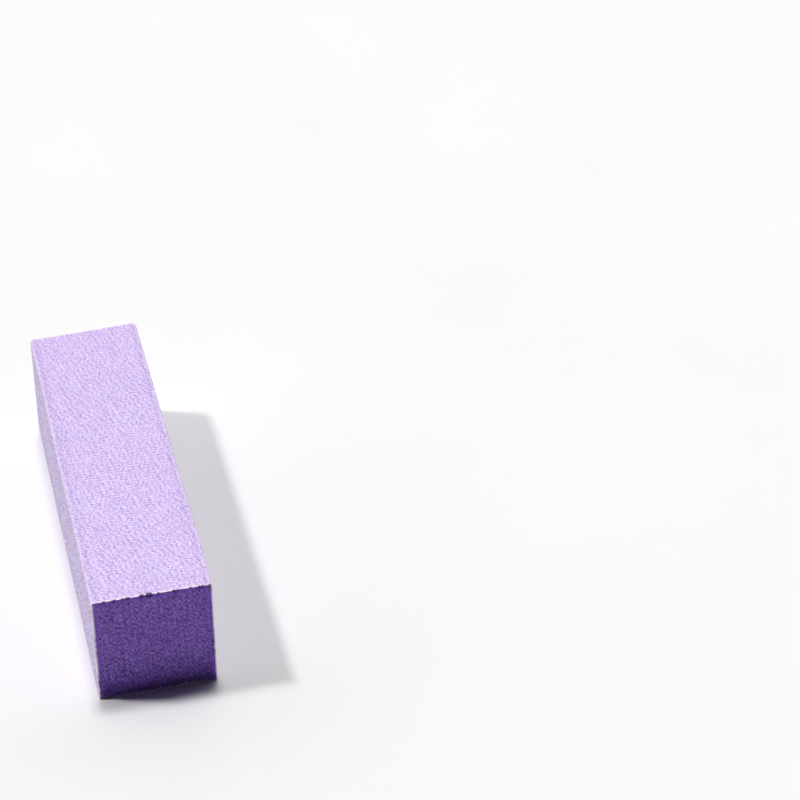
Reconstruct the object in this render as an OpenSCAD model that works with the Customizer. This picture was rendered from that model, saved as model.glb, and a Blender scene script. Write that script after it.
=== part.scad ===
// Nail buffer block: a foam bar with an abrasive coat on each of its four long faces.
// The frame has its origin at the middle of the face that it rests on, +X along the bar, +Z up.

/* [Block] */
// Length of the block, from one cut end to the other
block_l = 98; // [60:1:150]
// Width of the block, over both side coats
block_w = 25; // [15:0.5:50]
// Height of the block, over the top and bottom coats
block_h = 25; // [15:0.5:50]

/* [Abrasive coat] */
// Thickness of the layer of abrasive grains
grit_t = 0.30; // [0.2:0.05:1]
// Thickness of the resin film that holds the grains on the foam
bond_t = 0.10; // [0.05:0.05:0.3]
// Radius that the outer long edges are worn to
edge_r = 0.25; // [0.05:0.05:1]

/* [Hidden] */
$fn = 48;
// The films lie on the foam, and the grains lie on the films.
film_w = block_w - 2 * grit_t;
film_h = block_h - 2 * grit_t;
core_w = film_w - 2 * bond_t;
core_h = film_h - 2 * bond_t;
core_z = grit_t + bond_t;
// The worn edge stays within the layer of grains.
worn_r = min(edge_r, grit_t);

FOAM = [0.37, 0.27, 0.60];
BOND = [0.30, 0.20, 0.52];
GRIT = [0.83, 0.76, 0.93];

// A flat bar along X, centred on X and Y, with its lower face at height z.
module layer(w, h, z) {
    translate([-block_l / 2, -w / 2, z])
        cube([block_l, w, h]);
}

// Puts a side's layer on the back (+Y, side 1) or on the front (-Y, side -1).
module on_side(side) {
    mirror([0, side > 0 ? 0 : 1, 0])
        children();
}

// The upright outline of a side's grains, from their inner face at y = 0, with both outer
// corners worn round.
module worn_outline() {
    intersection() {
        square([grit_t, block_h]);
        union() {
            translate([-worn_r, 0])
                square([grit_t, block_h]);
            translate([0, worn_r])
                square([grit_t, block_h - 2 * worn_r]);
            for (z = [worn_r, block_h - worn_r])
                translate([grit_t - worn_r, z])
                    circle(r = worn_r);
        }
    }
}

// The resin film on a side covers the foam and the long edges of the top and bottom films.
module side_bond() {
    translate([-block_l / 2, core_w / 2, grit_t])
        cube([block_l, bond_t, film_h]);
}

// The grains on a side stand the full height of the block, over the edges of the top and
// bottom grains.
module side_grit() {
    translate([-block_l / 2, film_w / 2, 0])
        rotate([90, 0, 90])
            linear_extrude(block_l)
                worn_outline();
}

// The bar of closed-cell foam, bare on both cut ends.
module foam_core() {
    color(FOAM) layer(core_w, core_h, core_z);
}

module top_bond() {
    color(BOND) layer(core_w, bond_t, core_z + core_h);
}

module top_grit() {
    color(GRIT) layer(film_w, grit_t, block_h - grit_t);
}

module bottom_bond() {
    color(BOND) layer(core_w, bond_t, grit_t);
}

module bottom_grit() {
    color(GRIT) layer(film_w, grit_t, 0);
}

module front_bond() {
    color(BOND) on_side(-1) side_bond();
}

module front_grit() {
    color(GRIT) on_side(-1) side_grit();
}

module back_bond() {
    color(BOND) on_side(1) side_bond();
}

module back_grit() {
    color(GRIT) on_side(1) side_grit();
}

foam_core();
top_bond();
top_grit();
bottom_bond();
bottom_grit();
front_bond();
front_grit();
back_bond();
back_grit();
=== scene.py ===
import math

import bpy
import numpy as np
from mathutils import Euler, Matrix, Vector


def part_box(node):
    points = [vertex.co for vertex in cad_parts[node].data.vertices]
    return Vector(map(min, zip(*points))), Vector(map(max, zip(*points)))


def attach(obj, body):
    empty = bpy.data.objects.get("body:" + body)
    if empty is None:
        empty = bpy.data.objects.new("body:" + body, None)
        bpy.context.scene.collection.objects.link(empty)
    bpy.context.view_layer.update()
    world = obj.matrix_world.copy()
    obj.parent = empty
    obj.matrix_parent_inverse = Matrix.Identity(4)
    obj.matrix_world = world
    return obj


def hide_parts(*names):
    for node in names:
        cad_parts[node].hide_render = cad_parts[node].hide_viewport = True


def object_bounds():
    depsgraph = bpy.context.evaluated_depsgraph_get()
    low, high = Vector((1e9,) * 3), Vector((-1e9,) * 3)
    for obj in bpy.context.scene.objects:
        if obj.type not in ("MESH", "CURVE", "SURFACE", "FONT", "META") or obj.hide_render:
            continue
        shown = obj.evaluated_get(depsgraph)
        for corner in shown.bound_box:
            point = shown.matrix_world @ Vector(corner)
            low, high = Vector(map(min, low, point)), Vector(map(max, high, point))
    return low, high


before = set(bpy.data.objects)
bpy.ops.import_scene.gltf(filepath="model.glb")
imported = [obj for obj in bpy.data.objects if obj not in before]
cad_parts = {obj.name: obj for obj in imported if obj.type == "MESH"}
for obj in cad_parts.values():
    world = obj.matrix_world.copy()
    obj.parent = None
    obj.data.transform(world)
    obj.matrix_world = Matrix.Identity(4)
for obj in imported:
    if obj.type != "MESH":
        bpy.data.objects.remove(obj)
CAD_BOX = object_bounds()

# The looks of a nail buffer block: a foam bar, four resin films and four layers of abrasive
# grains. Lengths are in millimetres up to MM, which turns them into Blender's metres.

MM = 0.001

# The CAD model's own sizes, read from the frame. The block stands on z = 0, its long side runs
# along x, and y = 0 and x = 0 are its middle.
BLOCK_HIGH = np.array(CAD_BOX[1]) / MM
CORE_LOW, CORE_HIGH = (np.array(corner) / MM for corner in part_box("foam_core"))
TOP_GRIT_LOW, TOP_GRIT_HIGH = (np.array(corner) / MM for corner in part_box("top_grit"))
HALF_L, HALF_W, HEIGHT = BLOCK_HIGH
GRIT_T = HEIGHT - TOP_GRIT_LOW[2]
FILM_HALF_W = TOP_GRIT_HIGH[1]
CORE_HALF_W = CORE_HIGH[1]

SIDES = ("top", "bottom", "front", "back")
FLAT_SIDES = ("top", "bottom")
ENDS = (1, -1)


# ---------------------------------------------------------------- camera, light and floor

CAMERA_AT = (449.8, -47.1, 359.1)
CAMERA_HEADING = 76.19
CAMERA_TILT = 54.48
CAMERA_LENS = 116.3

# Each lamp's name, how far behind and how far left of the zenith it stands for each unit of
# height, its softness in degrees and its strength.
LAMPS = (
    ("left_softbox", 0.20, 0.62, 4.6, 0.88),
    ("wide_softbox", 0.27, 0.64, 5.5, 0.55),
    ("top_softbox", 0.21, -0.03, 9.5, 1.28),
)
LAMP_COLOUR = (1.0, 0.99, 0.985)

# The backdrop, in parts of a unit sphere: how far back it is full, the heights between which it
# fades from its upper to its lower brightness, and those between which the haze comes in.
WALL_BACK = -0.48
WALL_FADE = (0.40, 0.29)
WALL_BRIGHT = (0.65, 2.3)
HAZE_FADE = (0.18, 0.10)
HAZE_BRIGHT = 0.85

FLOOR_HALF = 6000.0
FLOOR_ROUGHNESS = 0.55
FLOOR_SPECULAR = 0.3
FLOOR_NOISE = 14.0
FLOOR_STOPS = [(0.3, (0.86, 0.865, 0.865)), (0.7, (0.89, 0.89, 0.89))]


def add_camera():
    data = bpy.data.cameras.new("camera")
    data.lens = CAMERA_LENS
    data.clip_start = 0.01
    data.clip_end = 50.0
    camera = bpy.data.objects.new("camera", data)
    bpy.context.scene.collection.objects.link(camera)
    camera.location = Vector(CAMERA_AT) * MM
    camera.rotation_euler = Euler((math.radians(CAMERA_TILT), 0.0, math.radians(CAMERA_HEADING)))
    bpy.context.scene.camera = camera


def add_lamp(name, behind, left, softness, strength):
    data = bpy.data.lights.new(name, "SUN")
    data.energy = strength
    data.angle = math.radians(softness)
    data.color = LAMP_COLOUR
    lamp = bpy.data.objects.new(name, data)
    bpy.context.scene.collection.objects.link(lamp)
    lamp.rotation_euler = Vector((-behind, -left, 1.0)).to_track_quat("Z", "Y").to_euler()


def ramp_value(nodes, links, value, start, finish, low, high):
    """A number that goes smoothly from low to high as value goes from start to finish."""
    ramp = nodes.new("ShaderNodeMapRange")
    ramp.interpolation_type = "SMOOTHSTEP"
    ramp.inputs["From Min"].default_value = start
    ramp.inputs["From Max"].default_value = finish
    ramp.inputs["To Min"].default_value = low
    ramp.inputs["To Max"].default_value = high
    links.new(value, ramp.inputs["Value"])
    return ramp.outputs["Result"]


def combined(nodes, links, operation, first, second):
    """A sum, product or the like. first and second are each a socket or a constant."""
    math_node = nodes.new("ShaderNodeMath")
    math_node.operation = operation
    for socket, value in zip(math_node.inputs, (first, second)):
        if isinstance(value, bpy.types.NodeSocket):
            links.new(value, socket)
        else:
            socket.default_value = value
    return math_node.outputs["Value"]


def add_dome():
    """The studio around the block: a wide white wall behind it, brightest low down, nothing on
    the camera's side but a pale haze along the horizon."""
    world = bpy.data.worlds.new("studio")
    bpy.context.scene.world = world
    world.use_nodes = True
    nodes, links = world.node_tree.nodes, world.node_tree.links
    background = nodes["Background"]
    place = nodes.new("ShaderNodeTexCoord")
    parts = nodes.new("ShaderNodeSeparateXYZ")
    links.new(place.outputs["Generated"], parts.inputs["Vector"])
    side, up = parts.outputs["X"], parts.outputs["Z"]
    behind = ramp_value(nodes, links, side, 0.0, WALL_BACK, 0.0, 1.0)
    level = ramp_value(nodes, links, up, *WALL_FADE, *WALL_BRIGHT)
    wall = combined(nodes, links, "MULTIPLY", behind, level)
    haze = ramp_value(nodes, links, up, *HAZE_FADE, 0.0, HAZE_BRIGHT)
    links.new(combined(nodes, links, "MAXIMUM", wall, haze), background.inputs["Strength"])
    background.inputs["Color"].default_value = (1.0, 1.0, 1.0, 1.0)


# ---------------------------------------------------------------- materials

BUMP_STRENGTH = 0.6


def new_material(name, roughness, specular):
    """A material with plain values, its nodes, its links and its shader. A roughness that is
    linked later overrides the plain one, which is left for viewers that can't follow a link."""
    material = bpy.data.materials.new(name)
    material.use_nodes = True
    shader = material.node_tree.nodes["Principled BSDF"]
    shader.inputs["Roughness"].default_value = roughness
    shader.inputs["Specular IOR Level"].default_value = specular
    return material, material.node_tree.nodes, material.node_tree.links, shader


def colour_ramp(nodes, links, value, stops):
    """A colour for a value, from stops that each hold a place and a colour."""
    ramp = nodes.new("ShaderNodeValToRGB")
    elements = ramp.color_ramp.elements
    while len(elements) < len(stops):
        elements.new(0.5)
    for element, (place, colour) in zip(elements, stops):
        element.position = place
        element.color = (*colour, 1.0)
    links.new(value, ramp.inputs["Fac"])
    return ramp.outputs["Color"]


def attribute(nodes, name):
    """A value that the mesh holds for each point."""
    node = nodes.new("ShaderNodeAttribute")
    node.attribute_name = name
    return node.outputs["Fac"]


def noise_value(nodes, links, scale, detail):
    """Noise over the object's own coordinates, which are in metres."""
    place = nodes.new("ShaderNodeTexCoord")
    noise = nodes.new("ShaderNodeTexNoise")
    noise.inputs["Scale"].default_value = scale
    noise.inputs["Detail"].default_value = detail
    links.new(place.outputs["Object"], noise.inputs["Vector"])
    return noise.outputs["Fac"]


def mixed(nodes, links, blend, factor, first, second):
    """A colour mix. factor and second are each a socket or a constant."""
    mix = nodes.new("ShaderNodeMix")
    mix.data_type = "RGBA"
    mix.blend_type = blend
    for socket, value in ((mix.inputs[0], factor), (mix.inputs[6], first), (mix.inputs[7], second)):
        if isinstance(value, bpy.types.NodeSocket):
            links.new(value, socket)
        else:
            socket.default_value = value
    return mix.outputs[2]


def add_bump(nodes, links, shader, height, distance):
    """Fine relief from a value between 0 and 1. distance is its depth in millimetres."""
    bump = nodes.new("ShaderNodeBump")
    bump.inputs["Strength"].default_value = BUMP_STRENGTH
    bump.inputs["Distance"].default_value = distance * MM
    links.new(height, bump.inputs["Height"])
    links.new(bump.outputs["Normal"], shader.inputs["Normal"])


def floor_material():
    material, nodes, links, shader = new_material("pale_floor", FLOOR_ROUGHNESS, FLOOR_SPECULAR)
    noise = noise_value(nodes, links, FLOOR_NOISE, 6.0)
    colour = colour_ramp(nodes, links, noise, FLOOR_STOPS)
    links.new(colour, shader.inputs["Base Color"])
    return material


def add_floor():
    half = FLOOR_HALF * MM
    mesh = bpy.data.meshes.new("floor")
    corners = [(-half, -half, 0), (half, -half, 0), (half, half, 0), (-half, half, 0)]
    mesh.from_pydata(corners, [], [(0, 1, 2, 3)])
    mesh.materials.append(floor_material())
    floor = bpy.data.objects.new("floor", mesh)
    bpy.context.scene.collection.objects.link(floor)


GRIT_STOPS = [
    (0.00, (0.400, 0.270, 0.660)),
    (0.40, (0.580, 0.440, 0.830)),
    (0.75, (0.740, 0.600, 0.930)),
    (1.00, (0.840, 0.710, 0.980)),
]
GRIT_HUES = [(0.36, (0.965, 0.98, 1.0)), (0.64, (1.0, 0.965, 0.985))]
WORN_AND_HIGHLIGHT_COLOUR = (0.95, 0.85, 0.98, 1.0)
SPECK_AND_SHADE_COLOUR = (0.12, 0.145, 0.22, 1.0)
CUT_COLOUR = (0.12, 0.035, 0.36, 1.0)
HUE_NOISE = 260.0
GRIT_NOISE = 9000.0
GRIT_BUMP = 0.02
GRIT_ROUGHNESS = (0.62, 0.42)


def grit_material():
    """Whitish grains in a purple resin: purple between the grains, pale on their tips and where
    they are worn, paler still where a highlight is painted on them, dark at the specks, greyer on
    the side layers as painted shade, and the foam's purple where the saw cut them."""
    material, nodes, links, shader = new_material("grit", 0.42, 0.5)
    grain = attribute(nodes, "grain")
    grains = colour_ramp(nodes, links, grain, GRIT_STOPS)
    hues = colour_ramp(nodes, links, noise_value(nodes, links, HUE_NOISE, 3.0), GRIT_HUES)
    toned = mixed(nodes, links, "MULTIPLY", 1.0, grains, hues)
    # Dark specks, and the side layers' painted shade.
    specked_and_shaded = mixed(nodes, links, "MIX", attribute(nodes, "specks_and_shade"), toned, SPECK_AND_SHADE_COLOUR)
    # Pale where worn, and painted highlights on the lit edges, the sawn edges and the glints.
    worn = mixed(nodes, links, "MIX", attribute(nodes, "wear_and_highlight"), specked_and_shaded, WORN_AND_HIGHLIGHT_COLOUR)
    sawn = mixed(nodes, links, "MIX", attribute(nodes, "cut"), worn, CUT_COLOUR)
    links.new(sawn, shader.inputs["Base Color"])
    roughness = ramp_value(nodes, links, grain, 0.0, 1.0, *GRIT_ROUGHNESS)
    links.new(roughness, shader.inputs["Roughness"])
    add_bump(nodes, links, shader, noise_value(nodes, links, GRIT_NOISE, 2.0), GRIT_BUMP)
    return material


RESIN_STOPS = [(0.3, (0.16, 0.08, 0.36)), (0.7, (0.26, 0.15, 0.50))]
RESIN_NOISE = 900.0
RESIN_BUMP = 0.03
RESIN_ROUGHNESS = (0.38, 0.58)


def bond_material():
    """The tinted resin film under the grains, pale at the sawn ends of the side films: partly
    grains spread over them, partly a painted highlight.
    """
    material, nodes, links, shader = new_material("bond", 0.45, 0.5)
    noise = noise_value(nodes, links, RESIN_NOISE, 3.0)
    resin = colour_ramp(nodes, links, noise, RESIN_STOPS)
    # Pale side film ends: partly grains, partly a painted highlight.
    smeared_and_lit = mixed(nodes, links, "MIX", attribute(nodes, "pale"), resin, WORN_AND_HIGHLIGHT_COLOUR)
    links.new(smeared_and_lit, shader.inputs["Base Color"])
    roughness = ramp_value(nodes, links, noise, 0.3, 0.7, *RESIN_ROUGHNESS)
    links.new(roughness, shader.inputs["Roughness"])
    add_bump(nodes, links, shader, noise, RESIN_BUMP)
    return material


FOAM_STOPS = [
    (0.00, (0.045, 0.015, 0.150)),
    (0.45, (0.160, 0.075, 0.400)),
    (0.80, (0.280, 0.155, 0.610)),
    (1.00, (0.400, 0.250, 0.780)),
]
RIM_COLOUR = (0.265, 0.105, 0.700, 1.0)
RIM_STRENGTH = 0.8
BLOTCH_STOPS = [(0.3, (0.88, 0.87, 0.91)), (0.7, (1.0, 1.0, 1.0))]
BLOTCH_NOISE = 420.0
FOAM_NOISE = 5200.0
FOAM_BUMP = 0.05
FOAM_ROUGHNESS = (0.76, 0.94)


def foam_material():
    """Cut closed-cell foam: matt and purple, with painted shade down in the opened cells, in its
    chips and towards its low edge, a purer violet near the rim, where the resin soaked in, and a
    painted highlight along its front edge."""
    material, nodes, links, shader = new_material("foam", 0.85, 0.25)
    shader.inputs["Sheen Weight"].default_value = 0.10
    cells = colour_ramp(nodes, links, attribute(nodes, "cell"), FOAM_STOPS)
    rim = combined(nodes, links, "MULTIPLY", attribute(nodes, "rim"), RIM_STRENGTH)
    soaked = mixed(nodes, links, "MIX", rim, cells, RIM_COLOUR)
    # A painted highlight along the front edge, the lit side.
    soaked = mixed(nodes, links, "MIX", attribute(nodes, "pale"), soaked, WORN_AND_HIGHLIGHT_COLOUR)
    slow = noise_value(nodes, links, BLOTCH_NOISE, 3.0)
    blotches = colour_ramp(nodes, links, slow, BLOTCH_STOPS)
    links.new(mixed(nodes, links, "MULTIPLY", 1.0, soaked, blotches), shader.inputs["Base Color"])
    fine = noise_value(nodes, links, FOAM_NOISE, 3.0)
    roughness = ramp_value(nodes, links, fine, 0.3, 0.7, *FOAM_ROUGHNESS)
    links.new(roughness, shader.inputs["Roughness"])
    add_bump(nodes, links, shader, fine, FOAM_BUMP)
    return material


# ---------------------------------------------------------------- mesh helpers

# How far the cut block is from a true box, at its near end (x > 0) and its far end.
NEAR_TWIST = 0.21
FAR_TWIST = 0.74
NEAR_LEAN = 0.33
NEAR_TALLER = 0.08
FAR_TALLER = 0.04
FAR_NARROWER = 0.16
BOW = 0.05

# The waves that make up a side's bow: each its share, its rate along the block and its start.
BOW_WAVES = ((0.6, 3.8, -1.2), (0.4, 10.6, 0.0))

# A smooth field's number of waves, and their least and greatest rate for its reach.
FIELD_WAVES = 24
FIELD_RATES = (0.6, 1.8)

# The random numbers of each kind of piece start from their own seed.
EDGE_SEED = 5
GRAIN_SEED = 11
FOAM_SEED = 21
FILM_SEED = 31


def settle(points):
    """Bends points as the cut block is bent: its ends are not sawn square, its far end is a
    little narrower and its sides bow a little. The bottom stays flat on z = 0."""
    x, y, z = points.T
    near = 0.5 + 0.5 * x / HALF_L
    far = 1.0 - near
    across, up = y / HALF_W, z / HEIGHT
    twist = NEAR_TWIST * near + FAR_TWIST * far
    lean = NEAR_LEAN * near * (2.0 * up - 1.0)
    bow = BOW * sum(share * np.sin(rate * near + start) for share, rate, start in BOW_WAVES)
    taller = NEAR_TALLER * near + FAR_TALLER * far
    moved_y = y + bow - FAR_NARROWER * far * across
    return np.column_stack([x - twist * across - lean, moved_y, z + taller * up])


def add_piece(name, points, faces, values, material, node):
    """Makes a piece from points in millimetres and lists of corners, and puts it on the frame.
    values holds its attributes, one number for each point."""
    mesh = bpy.data.meshes.new(name)
    mesh.from_pydata((settle(points) * MM).tolist(), [], faces)
    for key, value in values.items():
        layer = mesh.attributes.new(key, "FLOAT", "POINT")
        layer.data.foreach_set("value", value.astype(np.float32))
    mesh.materials.append(material)
    piece = bpy.data.objects.new(name, mesh)
    bpy.context.scene.collection.objects.link(piece)
    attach(piece, "root")
    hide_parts(node)
    return piece


def smooth_field(u, v, reach, rng):
    """A smooth random field of unit spread at the places u, v, with bumps of that reach."""
    total = np.zeros(np.broadcast(u, v).shape)
    for _ in range(FIELD_WAVES):
        angle = rng.uniform(0.0, 2.0 * math.pi)
        rate = rng.uniform(*FIELD_RATES) * math.pi / reach
        phase = rng.uniform(0.0, 2.0 * math.pi)
        total += np.cos(rate * (u * math.cos(angle) + v * math.sin(angle)) + phase)
    return total / math.sqrt(FIELD_WAVES / 2.0)


def cut_cells(index, rng):
    """Two triangles for each cell of a grid of point numbers, cut along a random diagonal."""
    a, b, c, d = index[:-1, :-1], index[1:, :-1], index[1:, 1:], index[:-1, 1:]
    cut = (rng.random(a.shape) > 0.5)[..., None]
    first = np.where(cut, np.stack([a, b, c], -1), np.stack([a, b, d], -1))
    second = np.where(cut, np.stack([a, c, d], -1), np.stack([b, c, d], -1))
    return np.concatenate([first.reshape(-1, 3), second.reshape(-1, 3)])


# ---------------------------------------------------------------- the sawn edges

EDGE_STEP = 0.1
RAGGED = 0.055
RAGGED_REACH = 0.32
SMALL_BITES = 13
BITE_WIDTHS = (0.3, 1.0)
BITE_DEPTHS = (0.1, 0.35)

# How far in from a sawn end its chips still pull at the layers, and how quickly the depth of a
# chip turns the colours beside it.
CHIP_REACH = 2.6
CHIP_GAIN = 2.5

# The larger chips of the sawn edges, each its place along the edge, its width and its depth. The
# place is y on the top and bottom, and the height above the middle on the front and back. Those of
# the near end's top edge follow the real block.
CHIPS = {
    ("top", 1): [(-1.95, 0.9, 0.45), (-0.75, 0.9, 0.8), (-0.1, 0.3, 0.9), (-4.9, 1.2, 0.3),
                 (4.6, 0.7, 0.35), (7.9, 0.5, 0.25), (9.8, 0.8, 0.3), (12.0, 0.8, 0.3)],
    ("bottom", 1): [(-7.0, 1.0, 0.25), (5.5, 0.8, 0.2)],
    ("front", 1): [(-8.4, 1.2, 0.4), (3.0, 0.8, 0.3)],
    ("back", 1): [(-2.2, 1.6, 0.55), (-4.6, 0.9, 0.4), (6.6, 0.8, 0.3)],
    ("top", -1): [(12.5, 1.3, 0.7), (4.0, 1.2, 0.3), (-6.3, 0.9, 0.35)],
    ("bottom", -1): [(2.0, 2.2, 0.7)],
    ("front", -1): [(-4.5, 1.5, 0.5)],
    ("back", -1): [(12.4, 1.6, 0.8), (4.5, 1.1, 0.4)],
}


def sawn_edge(side, end, rng):
    """How far the saw took an edge back at each step along it: a ragged line that also leaves
    small burrs, and the depth of its bites and chips."""
    along = np.arange(-HALF_W, HALF_W + EDGE_STEP / 2.0, EDGE_STEP)
    places = np.arange(-HALF_W, HALF_W + RAGGED_REACH, RAGGED_REACH)
    ragged = RAGGED * np.interp(along, places, rng.normal(0.0, 1.0, len(places)))
    bites = list(CHIPS[side, end])
    for _ in range(SMALL_BITES):
        place = rng.uniform(-HALF_W, HALF_W)
        bites.append((place, rng.uniform(*BITE_WIDTHS), rng.uniform(*BITE_DEPTHS)))
    deep = np.zeros(len(along))
    for place, width, depth in bites:
        hollow = np.clip(1.0 - ((along - place) / (width / 2.0)) ** 2, 0.0, 1.0)
        deep = np.maximum(deep, depth * np.sqrt(hollow))
    return along, ragged, deep


def chip_fade(inset):
    """How much of a chip is left that far in from a sawn end."""
    return np.clip(1.0 - inset / CHIP_REACH, 0.0, 1.0) ** 2


def edge_along(side, y, z):
    """The place along a sawn edge of points of that side."""
    return y if side in FLAT_SIDES else z - HEIGHT / 2.0


# ---------------------------------------------------------------- the foam core

FOAM_STEP = 0.15
FOAM_JITTER = 0.28

# The violet rim: its strength at the very edge and how far in it fades, and how the mottle breaks
# it up. The painted highlight along its front edge, the lit side, reaches this far in.
RIM_START = 1.3
RIM_WIDTH = 0.95
RIM_LEVEL = 0.8
RIM_BROKEN = 2.0
FRONT_EDGE_HIGHLIGHT = 0.2

# The opened cells of a sawn end: how many, their least and largest radius, and how deep each is
# for its radius.
CELL_SIZES = (
    (7500, 0.10, 0.17, 0.40),
    (520, 0.17, 0.26, 0.50),
    (24, 0.26, 0.36, 0.45),
)
CORE_INSETS = (0.3, 0.8, 1.8, 4.0, 12.0, 30.0)

# The sawn end's relief: how far it lies back, its saw streaks and slow waves, how its edge follows
# the chips and how far in, and how its very rim is rounded and how far in.
FOAM_BACK = 0.03
STREAK_DEPTH = 0.008
WAVE_DEPTH = 0.018
DENT_SHARE = 0.9
DENT_REACH = 0.35
ROUND_DEPTH = 0.05
ROUND_REACH = 0.12

# How light the sawn foam is, on a scale of its own from 0 to 1, and the depth of a cell that takes
# a whole 1 away, which paints shade down in the opened cells. The mottle is made of blotches, saw
# streaks and single points.
CELL_LIGHT = 0.80
CELL_SHADE_DEPTH = 0.17
MOTTLE_BLOTCH = 0.10
MOTTLE_STREAK = 0.025
MOTTLE_POINT = 0.15
MOTTLE_SHARE = 1.3

# What darkens the foam as painted shade: its chips, and the low edge, as amounts and their reach in
# height.
CHIP_SHADE = 0.6
LOW_SHADES = ((0.42, 5.0), (0.4, 1.7))
CORE_SIDE_CELL = 0.7


def opened_cells(y, z, rng):
    """How deep the opened cells are at the points of a sawn end."""
    low_y, low_z = y[0, 0], z[0, 0]
    rows, columns = y.shape
    depth = np.zeros(y.shape)
    for count, least, largest, share in CELL_SIZES:
        radii = rng.uniform(least, largest, count)
        centre_y = rng.uniform(-CORE_HALF_W, CORE_HALF_W, count)
        centre_z = rng.uniform(CORE_LOW[2], CORE_HIGH[2], count)
        for cy, cz, radius in zip(centre_y, centre_z, radii):
            reach = int(radius / FOAM_STEP) + 2
            i, j = int((cy - low_y) / FOAM_STEP), int((cz - low_z) / FOAM_STEP)
            window = (
                slice(max(0, i - reach), min(rows, i + reach + 1)),
                slice(max(0, j - reach), min(columns, j + reach + 1)),
            )
            away = ((y[window] - cy) ** 2 + (z[window] - cz) ** 2) / radius**2
            cup = radius * share * np.clip(1.0 - away, 0.0, 1.0)
            depth[window] = np.maximum(depth[window], cup)
    return depth


def sawn_foam(y, z, end, edges, rng):
    """How far back the foam is at the points of a sawn end, and its attributes there."""
    cells = opened_cells(y, z, rng)
    streaks = smooth_field(y, 0.12 * z, 0.5, rng)
    waves = smooth_field(y, z, 5.0, rng)
    back = FOAM_BACK + cells + STREAK_DEPTH * streaks + WAVE_DEPTH * waves
    from_rim = np.full(y.shape, HALF_W)
    chipped = np.zeros(y.shape)
    for side in SIDES:
        along, _, deep = edges[side, end]
        distance = {
            "top": CORE_HIGH[2] - z,
            "bottom": z - CORE_LOW[2],
            "front": y + CORE_HALF_W,
            "back": CORE_HALF_W - y,
        }[side]
        dent = np.interp(edge_along(side, y, z), along, deep)
        near_rim = np.exp(-((distance / DENT_REACH) ** 2))
        back += DENT_SHARE * dent * near_rim
        back += ROUND_DEPTH * np.exp(-((distance / ROUND_REACH) ** 2))
        chipped = np.maximum(chipped, np.clip(CHIP_GAIN * dent, 0.0, 1.0) * near_rim)
        # The violet rim is left off the low edge, which stays in its painted shade.
        if side != "bottom":
            from_rim = np.minimum(from_rim, distance)
    mottle = MOTTLE_BLOTCH * smooth_field(y, z, 0.45, rng) + MOTTLE_STREAK * streaks
    mottle += rng.normal(0.0, MOTTLE_POINT, y.shape)
    # Painted shade in the chips and towards the low edge.
    shade = CHIP_SHADE * chipped
    for amount, reach in LOW_SHADES:
        shade += amount * np.exp(-(((z - CORE_LOW[2]) / reach) ** 2))
    # Deeper cells are darker: painted shade.
    cell = CELL_LIGHT - cells / CELL_SHADE_DEPTH + MOTTLE_SHARE * mottle - shade
    rim = np.clip(RIM_START - from_rim / RIM_WIDTH, 0.0, 1.0)
    rim *= np.clip(RIM_LEVEL + RIM_BROKEN * mottle, 0.0, 1.0)
    # A painted highlight along the front edge, the lit side.
    pale = np.clip(1.0 - (CORE_HALF_W + y) / FRONT_EDGE_HIGHLIGHT, 0.0, 1.0) * (1.0 - chipped)
    return np.clip(back, 0.0, None), np.clip(cell, 0.0, 1.0), rim * (1.0 - chipped), pale


def foam_core(edges, material):
    """The foam bar: two sawn ends of opened cells, and plain sides, which the films cover."""
    rng = np.random.default_rng(FOAM_SEED)
    count = int(round(2.0 * CORE_HALF_W / FOAM_STEP)) + 1
    y0 = np.linspace(-CORE_HALF_W, CORE_HALF_W, count)
    z0 = np.linspace(CORE_LOW[2], CORE_HIGH[2], count)
    last = count - 1
    rim = [(i, 0) for i in range(last)] + [(last, j) for j in range(last)]
    rim += [(i, last) for i in range(last, 0, -1)] + [(0, j) for j in range(last, 0, -1)]
    rim_i, rim_j = np.array(rim).T

    points, cells, rims, pales, faces, loops = [], [], [], [], [], {1: [], -1: []}
    total = 0
    for end in ENDS:
        y, z = np.meshgrid(y0, z0, indexing="ij")
        y[1:-1, 1:-1] += rng.uniform(-FOAM_JITTER, FOAM_JITTER, (last - 1, last - 1)) * FOAM_STEP
        z[1:-1, 1:-1] += rng.uniform(-FOAM_JITTER, FOAM_JITTER, (last - 1, last - 1)) * FOAM_STEP
        back, cell, rim_value, pale = sawn_foam(y, z, end, edges, rng)
        points.append(np.stack([end * (HALF_L - back), y, z], -1).reshape(-1, 3))
        cells.append(cell.reshape(-1))
        rims.append(rim_value.reshape(-1))
        pales.append(pale.reshape(-1))
        index = total + np.arange(count * count).reshape(count, count)
        triangles = cut_cells(index, rng)
        faces.append(triangles if end > 0 else triangles[:, ::-1])
        loops[end].append(index[rim_i, rim_j])
        total += count * count
        for inset in CORE_INSETS:
            rim_x = HALF_L - inset - back[rim_i, rim_j] * chip_fade(inset)
            ring = np.column_stack([end * rim_x, y0[rim_i], z0[rim_j]])
            points.append(ring)
            cells.append(np.full(len(rim), CORE_SIDE_CELL))
            rims.append(np.ones(len(rim)))
            pales.append(np.zeros(len(rim)))
            loops[end].append(total + np.arange(len(rim)))
            total += len(rim)
    bands = loops[1] + loops[-1][::-1]
    for near, far in zip(bands[:-1], bands[1:]):
        quads = np.stack([near, far, np.roll(far, -1), np.roll(near, -1)], -1)
        faces.append(np.concatenate([quads[:, [0, 1, 2]], quads[:, [0, 2, 3]]]))
    values = {"cell": cells, "rim": rims, "pale": pales}
    values = {key: np.concatenate(parts) for key, parts in values.items()}
    corners = np.concatenate(faces).tolist()
    every_point = np.concatenate(points)
    piece = add_piece("foam_bar", every_point, corners, values, material, "foam_core")


# ---------------------------------------------------------------- the resin films

FILM_STEP = 0.25
FILM_INSETS = (0.0, 0.15, 0.5, 1.5, 6.0, 25.0)

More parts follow.
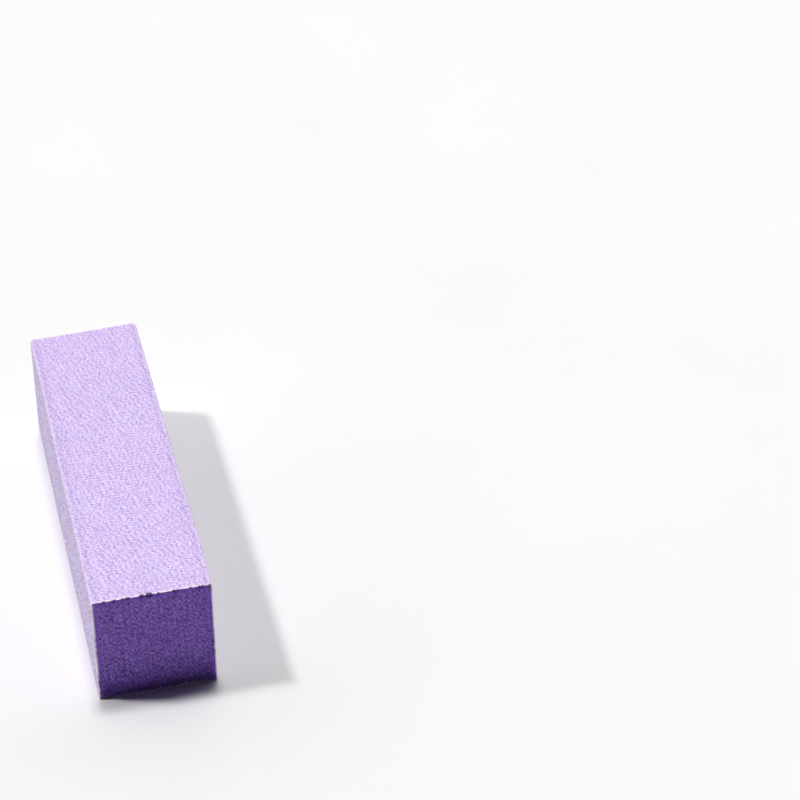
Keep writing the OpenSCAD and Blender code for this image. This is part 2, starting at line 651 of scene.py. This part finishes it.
# How far a film's sawn end lies behind that of the grains, how much that varies, how much of the
# grains' raggedness it shares, and how pale the ends of the side films are, partly grains spread
# over them and partly a painted highlight.
FILM_BACK = 0.04
FILM_VARIES = 0.05
FILM_RAGGED = 0.5
FILM_SMEAR_AND_HIGHLIGHT = 0.85


def resin_film(side, edges, material):
    """One thin film between the foam and the grains. Its sawn ends are a little ragged and lie
    just behind those of the grains."""
    rng = np.random.default_rng(FILM_SEED + SIDES.index(side))
    low, high = (np.array(corner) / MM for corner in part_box(f"{side}_bond"))
    across, through = (1, 2) if side in FLAT_SIDES else (2, 1)
    count = int(round((high[across] - low[across]) / FILM_STEP)) + 1
    line = np.linspace(low[across], high[across], count)
    outline = np.zeros((2 * count, 3))
    outline[:, across] = np.concatenate([line, line[::-1]])
    outline[:, through] = np.repeat([low[through], high[through]], count)
    loop = 2 * count
    rings, pale = [], []
    # Pale side film ends: partly grains, partly a painted highlight.
    smear_and_highlight = 0.0 if side in FLAT_SIDES else FILM_SMEAR_AND_HIGHLIGHT
    for end in ENDS:
        along, ragged, deep = edges[side, end]
        place = edge_along(side, outline[:, 1], outline[:, 2])
        back = FILM_BACK + np.interp(place, along, deep) + rng.uniform(0.0, FILM_VARIES, loop)
        back += FILM_RAGGED * np.interp(place, along, ragged)
        ends = []
        for inset in FILM_INSETS:
            ring = outline.copy()
            ring[:, 0] = end * (HALF_L - inset - np.clip(back, 0.0, None) * chip_fade(inset))
            ends.append(ring)
        shares = [smear_and_highlight if inset == 0.0 else 0.0 for inset in FILM_INSETS]
        rings += ends if end > 0 else ends[::-1]
        pale += shares if end > 0 else shares[::-1]
    points = np.concatenate(rings)
    index = np.arange(len(points)).reshape(len(rings), loop)
    near, far = index[:-1], index[1:]
    quads = np.stack([near, far, np.roll(far, -1, 1), np.roll(near, -1, 1)], -1).reshape(-1, 4)
    k = np.arange(count - 1)
    for ring, order in ((index[0], (0, 1, 2, 3)), (index[-1], (3, 2, 1, 0))):
        cap = np.stack([ring[k], ring[k + 1], ring[loop - 2 - k], ring[loop - 1 - k]], -1)
        quads = np.concatenate([quads, cap[:, order]])
    if side in ("top", "front"):
        quads = quads[:, ::-1]
    piece_name = f"{side}_film"
    values = {"pale": np.repeat(pale, loop)}
    add_piece(piece_name, points, quads.tolist(), values, material, f"{side}_bond")


# ---------------------------------------------------------------- the grain layers

GRAIN = 0.20
GRAIN_JITTER = 0.27
WORN_R = 0.25
CRUMBLE_REACH = 0.5

# The sawn face starts this far under the surface. How far in from a sawn end the layer is rounded
# over, and how deep, for the flat layers and for the side ones.
UNDER = 0.03
END_ROUND = {"flat": (0.12, 0.04), "side": (0.38, 0.18)}

# Where the peaks and the hollows of the grains lie below the surface, the share of peaks as a
# level of a unit spread, the size of the clumps, and the depth at which a grain is all resin.
PEAKS = (0.0, 0.035)
HOLLOWS = (0.045, 0.105)
PEAK_LEVEL = -0.15
CLUMP_REACH = 0.55
CLUMP_SHARE = 0.5
CLUMP_DEPTH = 0.012
GRAIN_DEPTH = 0.115
GRAIN_SPREAD = 0.10
SLOW_REACH = 9.0
SLOW_SPREAD = 2.5
SLOW_DEPTH = 0.012

# The least thickness that is left of a layer in its deepest hollow.
LEAST_LAYER = 0.06

# What a chip does to the grains beside it and how far in, how much of the raggedness the inner face
# shares, and how pale and how far in the broken grains are, a pale that also paints a highlight
# along the sawn edge.
CHIP_SINK = 0.08
CHIP_CUT = 0.7
CHIP_NEAR = 0.3
INNER_RAGGED = 0.6
BROKEN_START = 1.4
BROKEN_REACH = 0.45
BROKEN_AND_LIT_PALE = (0.8, 1.0)

# How strongly the grains of a long edge are rubbed. The dark specks. The purer band along a flat
# layer's long edges, as its strength, its distance from the edge and its width.
RUBBED_PALE = (-0.2, 0.9)
SPECK_DULL = 0.85
PURE_BAND = (0.14, 0.9, 0.5)

# How grey a side layer is painted, as painted shade of its grain flanks in grazing light: on the
# whole, more towards its long edges, and in patches of two sizes, each an amount and a reach, and
# from grain to grain. It starts a little in from the edge.
SIDE_SHADE_LEVEL = 0.20
SIDE_SHADE_EDGES = 0.10
SIDE_SHADE_FINE = (0.03, 0.5)
SIDE_SHADE_SLOW = (0.015, 4.0)
SIDE_SHADE_SPREAD = 0.26
SIDE_SHADE_START = 0.7
SIDE_SHADE_MOST = 0.8

# The sawn faces of the grains: how cut the flat layers' are, and how pale the side layers' are,
# partly broken grains and partly a painted highlight.
FACE_GRAIN = (0.3, 1.0)
FACE_CUT = (0.75, 1.0)
FACE_PALE_AND_LIT = 0.8

# How rough each layer is next to the top one, how strongly and how far in from its long edges it is
# rubbed pale, where the front layer, on the lit side, is paler than the back one as painted light,
# and its shares of dark specks and of coarse white grains, which also stand in for painted glints.
RELIEF = {"top": 1.0, "bottom": 1.0, "front": 1.9, "back": 1.9}
RUBBED_AND_LIT = {"top": 1.0, "bottom": 1.0, "front": 1.0, "back": 0.3}
RUBBED_BAND = {"top": 0.3, "bottom": 0.3, "front": 0.8, "back": 0.8}
SPECKS = {"top": 0.008, "bottom": 0.008, "front": 0.06, "back": 0.06}
COARSE_AND_GLINTS = {"top": 0.004, "bottom": 0.004, "front": 0.04, "back": 0.04}


def worn_outline():
    """The cross-section of a side layer's grains from the top down: along its narrow upper edge,
    round the worn corner, down the side and back in. Gives y, z and the outward normal."""
    strip = HALF_W - WORN_R - FILM_HALF_W
    arc = WORN_R * math.pi / 2.0
    total = 2.0 * (strip + arc) + HEIGHT - 2.0 * WORN_R
    places = []
    for at in np.linspace(0.0, total, int(round(total / GRAIN)) + 1):
        lower = at > total / 2.0
        run = total - at if lower else at
        if run <= strip:
            y, z, ny, nz = FILM_HALF_W + run, HEIGHT, 0.0, 1.0
        elif run <= strip + arc:
            angle = (run - strip) / WORN_R
            ny, nz = math.sin(angle), math.cos(angle)
            y, z = HALF_W - WORN_R * (1.0 - ny), HEIGHT - WORN_R * (1.0 - nz)
        else:
            y, z, ny, nz = HALF_W, HEIGHT - WORN_R - (run - strip - arc), 1.0, 0.0
        places.append((y, HEIGHT - z, ny, -nz) if lower else (y, z, ny, nz))
    first = (FILM_HALF_W, HEIGHT - GRIT_T, 0.0, 1.0)
    last = (FILM_HALF_W, GRIT_T, 0.0, -1.0)
    return np.array([first, *places, last]).T


def grit_outline(side):
    """The cross-section of a grain layer: y, z and the outward normal of each column, from one
    end of its inner face round to the other."""
    if side in FLAT_SIDES:
        line = np.linspace(-FILM_HALF_W, FILM_HALF_W, int(round(2.0 * FILM_HALF_W / GRAIN)) + 1)
        y = np.concatenate(([-FILM_HALF_W], line, [FILM_HALF_W]))
        z = np.concatenate(([HEIGHT - GRIT_T], np.full(len(line), HEIGHT), [HEIGHT - GRIT_T]))
        ny, nz = np.zeros(len(y)), np.ones(len(y))
        if side == "bottom":
            return y[::-1], HEIGHT - z[::-1], ny, -nz
        return y, z, ny, nz
    y, z, ny, nz = worn_outline()
    if side == "front":
        return -y[::-1], z[::-1], -ny[::-1], nz[::-1]
    return y, z, ny, nz


def grain_places(y0, z0, ny0, nz0, rng):
    """The places of a layer's grains: a grid with every inner point moved a little. Gives x, the
    run s round the outline, y, z, the outward normal and the outline's own run."""
    columns = len(y0)
    rows = int(round(2.0 * HALF_L / GRAIN)) + 1
    s0 = np.concatenate(([0.0], np.cumsum(np.hypot(np.diff(y0), np.diff(z0)))))
    x = np.repeat(np.linspace(-HALF_L, HALF_L, rows)[:, None], columns, 1)
    s = np.repeat(s0[None, :], rows, 0)
    x[1:-1, 1:-1] += rng.uniform(-GRAIN_JITTER, GRAIN_JITTER, (rows - 2, columns - 2)) * GRAIN
    s[:, 2:-2] += rng.uniform(-GRAIN_JITTER, GRAIN_JITTER, (rows, columns - 4)) * GRAIN
    y, z, normal_y, normal_z = (np.interp(s, s0, part) for part in (y0, z0, ny0, nz0))
    return x, s, y, z, normal_y, normal_z, s0


def grain_heights(side, x, s, rng):
    """How far each point of a layer sinks below its surface, how much of a grain it is, and how
    worn. Tips lie near the surface and hollows below it, in clumps, with a slow unevenness and a
    few coarse white grains that stand a little higher, their white also a painted glint."""
    clumps = smooth_field(x, s, CLUMP_REACH, rng)
    tip = rng.normal(0.0, 1.0, x.shape) + CLUMP_SHARE * clumps > PEAK_LEVEL
    sink = np.where(tip, rng.uniform(*PEAKS, x.shape), rng.uniform(*HOLLOWS, x.shape))
    sink = np.clip(sink - CLUMP_DEPTH * clumps, 0.0, None)
    grain = 1.0 - sink / GRAIN_DEPTH + rng.normal(0.0, GRAIN_SPREAD, x.shape)
    sink = RELIEF[side] * sink
    slow = np.clip(smooth_field(x, s, SLOW_REACH, rng) / SLOW_SPREAD, -1.0, 1.0)
    sink += SLOW_DEPTH * (1.0 + slow)
    # Coarse white grains, which also stand in for painted glints.
    coarse = rng.random(x.shape) < COARSE_AND_GLINTS[side]
    return np.where(coarse, 0.0, sink), np.clip(grain, 0.0, 1.0), np.where(coarse, 1.0, 0.0)


def saw_ends(side, edges, place, x, sink, wear_and_highlight, rng):
    """Saws both ends of a layer: ragged, bitten and rounded over, with pale broken grains, a pale
    that also paints a highlight along the sawn edge. Changes x and sink, and gives their pale from
    being worn and from painted highlight, how cut the points are and the inner face's ends."""
    inner_x = {}
    cut = np.zeros(x.shape)
    round_reach, round_depth = END_ROUND["flat" if side in FLAT_SIDES else "side"]
    for end in ENDS:
        along, ragged, deep = edges[side, end]
        ragged, deep = np.interp(place, along, ragged), np.interp(place, along, deep)
        inset = HALF_L - end * x
        crumble = np.clip(1.0 - inset / CRUMBLE_REACH, 0.0, 1.0)
        x -= end * (deep[None, :] * chip_fade(inset) + ragged[None, :] * crumble)
        inner_x[end] = end * (HALF_L - deep - INNER_RAGGED * ragged)
        chipped = np.clip(deep * CHIP_GAIN, 0.0, 1.0)[None, :]
        chipped = chipped * np.clip(1.0 - inset / CHIP_NEAR, 0.0, 1.0)
        rounded = round_depth * np.clip(1.0 - inset / round_reach, 0.0, 1.0) ** 2
        sink += rounded + CHIP_SINK * chipped
        # Pale broken grains near the sawn ends, also a painted highlight along the sawn edge.
        broken = np.clip(BROKEN_START - inset / BROKEN_REACH, 0.0, 1.0)
        wear_and_highlight = np.maximum(wear_and_highlight, broken * rng.uniform(*BROKEN_AND_LIT_PALE, x.shape))
        cut = np.maximum(cut, CHIP_CUT * chipped)
    return wear_and_highlight, cut, inner_x


def tone_edges(side, x, s, z, from_edge, wear_and_highlight, cut, rng):
    """Rubs the long edges pale, most of all on the rounded corner of the front layer, with the lit
    front paler than the shaded back as painted light. The side layers are greyed from grain to
    grain as painted shade, and the flat ones purer just inside their long edges."""
    # Rubbed pale edges, stronger on the lit front layer than on the shaded back: partly painted
    # light.
    rubbed = np.clip(1.0 - from_edge / RUBBED_BAND[side], 0.0, 1.0)
    rubbed *= RUBBED_AND_LIT[side] * rng.uniform(*RUBBED_PALE, x.shape)
    wear_and_highlight = np.clip(np.maximum(wear_and_highlight, rubbed), 0.0, 1.0)
    specks_and_shade = np.where(rng.random(x.shape) < SPECKS[side], SPECK_DULL, 0.0)
    if side in FLAT_SIDES:
        strength, away, width = PURE_BAND
        return wear_and_highlight, specks_and_shade, np.maximum(cut, strength * np.exp(-(((from_edge - away) / width) ** 2)))
    # The side layers' painted shade: grey as their grain flanks look in grazing light, greyest
    # towards the long edges.
    fine, fine_reach = SIDE_SHADE_FINE
    slow, slow_reach = SIDE_SHADE_SLOW
    patches = fine * smooth_field(0.5 * x, s, fine_reach, rng)
    patches = patches + slow * smooth_field(x, s, slow_reach, rng)
    across = np.abs(2.0 * z / HEIGHT - 1.0)
    patches += SIDE_SHADE_LEVEL + SIDE_SHADE_EDGES * across + rng.normal(0.0, SIDE_SHADE_SPREAD, x.shape)
    painted_shade_here = np.clip(patches, 0.0, SIDE_SHADE_MOST) * np.clip(from_edge / SIDE_SHADE_START, 0.0, 1.0)
    return wear_and_highlight, np.maximum(specks_and_shade, painted_shade_here), cut


def add_quads(faces, ring, deeper, end):
    """Joins two rings of points with faces, and drops the corners that the rings share."""
    for k in range(len(ring) - 1):
        quad = [int(ring[k]), int(deeper[k]), int(deeper[k + 1]), int(ring[k + 1])]
        quad = [corner for n, corner in enumerate(quad) if corner not in quad[:n]]
        if len(quad) > 2:
            faces.append(quad if end > 0 else quad[::-1])


def grain_layer(side, edges, material):
    """One layer of grains: a relief of jittered peaks and hollows with a ragged, chipped edge at
    both sawn ends, closed by its flat inner face."""
    rng = np.random.default_rng(GRAIN_SEED + SIDES.index(side))
    y0, z0, ny0, nz0 = grit_outline(side)
    flat = side in FLAT_SIDES
    x, s, y, z, normal_y, normal_z, s0 = grain_places(y0, z0, ny0, nz0, rng)
    rows, columns = x.shape
    sink, grain, wear_and_highlight = grain_heights(side, x, s, rng)
    place = edge_along(side, y0, z0)
    wear_and_highlight, cut, inner_x = saw_ends(side, edges, place, x, sink, wear_and_highlight, rng)
    sink = np.clip(sink, 0.0, GRIT_T - LEAST_LAYER)
    from_edge = np.minimum(s - s0[1], s0[-2] - s)
    wear_and_highlight, specks_and_shade, cut = tone_edges(side, x, s, z, from_edge, wear_and_highlight, cut, rng)
    sink[:, [0, -1]] = 0.0
    y, z = y - normal_y * sink, z - normal_z * sink

    index = np.arange(rows * columns).reshape(rows, columns)
    points = [np.stack([x, y, z], -1).reshape(-1, 3)]
    values = {"grain": [grain], "wear_and_highlight": [wear_and_highlight], "specks_and_shade": [specks_and_shade], "cut": [cut]}
    faces = cut_cells(index, rng).tolist()

    # The sawn faces, each from the outer surface by a ring just under it to the inner face.
    begin, finish = np.array([y0[0], z0[0]]), np.array([y0[-1], z0[-1]])
    line = begin + (finish - begin) * (s0[1:-1] / s0[-1])[:, None]
    inner = slice(1, columns - 1)
    added = columns - 2
    count = rows * columns
    rings = {}
    for end, last in ((1, rows - 1), (-1, 0)):
        under_y = y[last, inner] - UNDER * normal_y[last, inner]
        under_z = z[last, inner] - UNDER * normal_z[last, inner]
        points.append(np.column_stack([x[last, inner] - 0.01 * end, under_y, under_z]))
        points.append(np.column_stack([inner_x[end][inner], line]))
        ring = index[last]
        for _ in range(2):
            deeper = np.concatenate([ring[:1], np.arange(count, count + added), ring[-1:]])
            add_quads(faces, ring, deeper, end)
            values["grain"].append(rng.uniform(*FACE_GRAIN, added))
            # The side layers' sawn faces are pale: partly broken grains, partly a painted
            # highlight.
            values["wear_and_highlight"].append(np.full(added, 0.0 if flat else FACE_PALE_AND_LIT))
            values["specks_and_shade"].append(np.zeros(added))
            values["cut"].append(rng.uniform(*FACE_CUT, added) if flat else np.zeros(added))
            ring = deeper
            count += added
        rings[end] = ring.tolist()

    # The flat inner face.
    left, right = index[:, 0].tolist(), index[:, -1].tolist()
    faces.append([left[1]] + rings[-1] + [right[1]])
    faces.append([right[-2]] + rings[1][::-1] + [left[-2]])
    for k in range(1, rows - 2):
        faces.append([left[k + 1], left[k], right[k], right[k + 1]])
    for key, parts in values.items():
        values[key] = np.concatenate([part.ravel() for part in parts])
    every_point = np.concatenate(points)
    add_piece(f"{side}_grains", every_point, faces, values, material, f"{side}_grit")


# ---------------------------------------------------------------- build

scene = bpy.context.scene
scene.view_settings.view_transform = "Standard"
scene.view_settings.look = "None"
add_camera()
for lamp in LAMPS:
    add_lamp(*lamp)
add_dome()
add_floor()

edge_rng = np.random.default_rng(EDGE_SEED)
EDGES = {(side, end): sawn_edge(side, end, edge_rng) for side in SIDES for end in ENDS}
foam_core(EDGES, foam_material())
bond = bond_material()
grit = grit_material()
for side in SIDES:
    resin_film(side, EDGES, bond)
    grain_layer(side, EDGES, grit)
